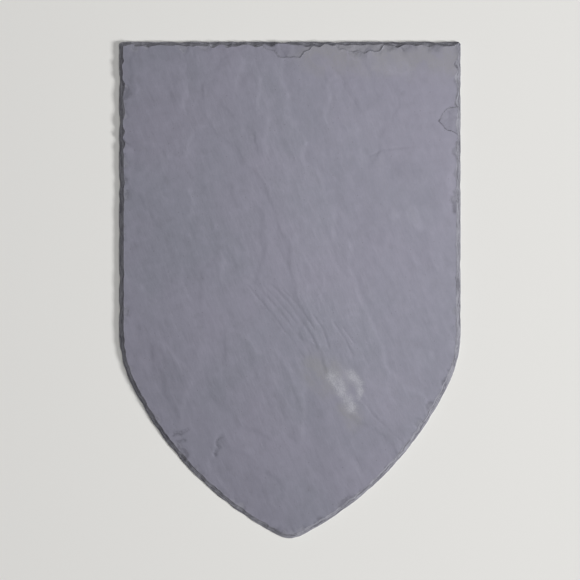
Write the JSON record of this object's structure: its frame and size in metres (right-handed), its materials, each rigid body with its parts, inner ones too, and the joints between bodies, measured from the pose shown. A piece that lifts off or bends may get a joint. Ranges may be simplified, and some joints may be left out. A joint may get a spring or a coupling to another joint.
{
  "type": "slate roof tile",
  "caption": "Thin flat roofing slate with straight sides, a square head, a pointed curved tail and a rough bevel dressed round its upper face.",
  "frame": {"origin": "on the flat back (the bed), in the middle of the slate's length and width", "axes": "+Z out of the dressed face, away from the roof; +Y from the pointed tail towards the square head; X across the width"},
  "size_m": [0.22, 0.32, 0.0045],
  "materials": {
    "slate": "matte"
  },
  "bodies": {
    "root": {"slate": "slate"}
  },
  "joints": []
}
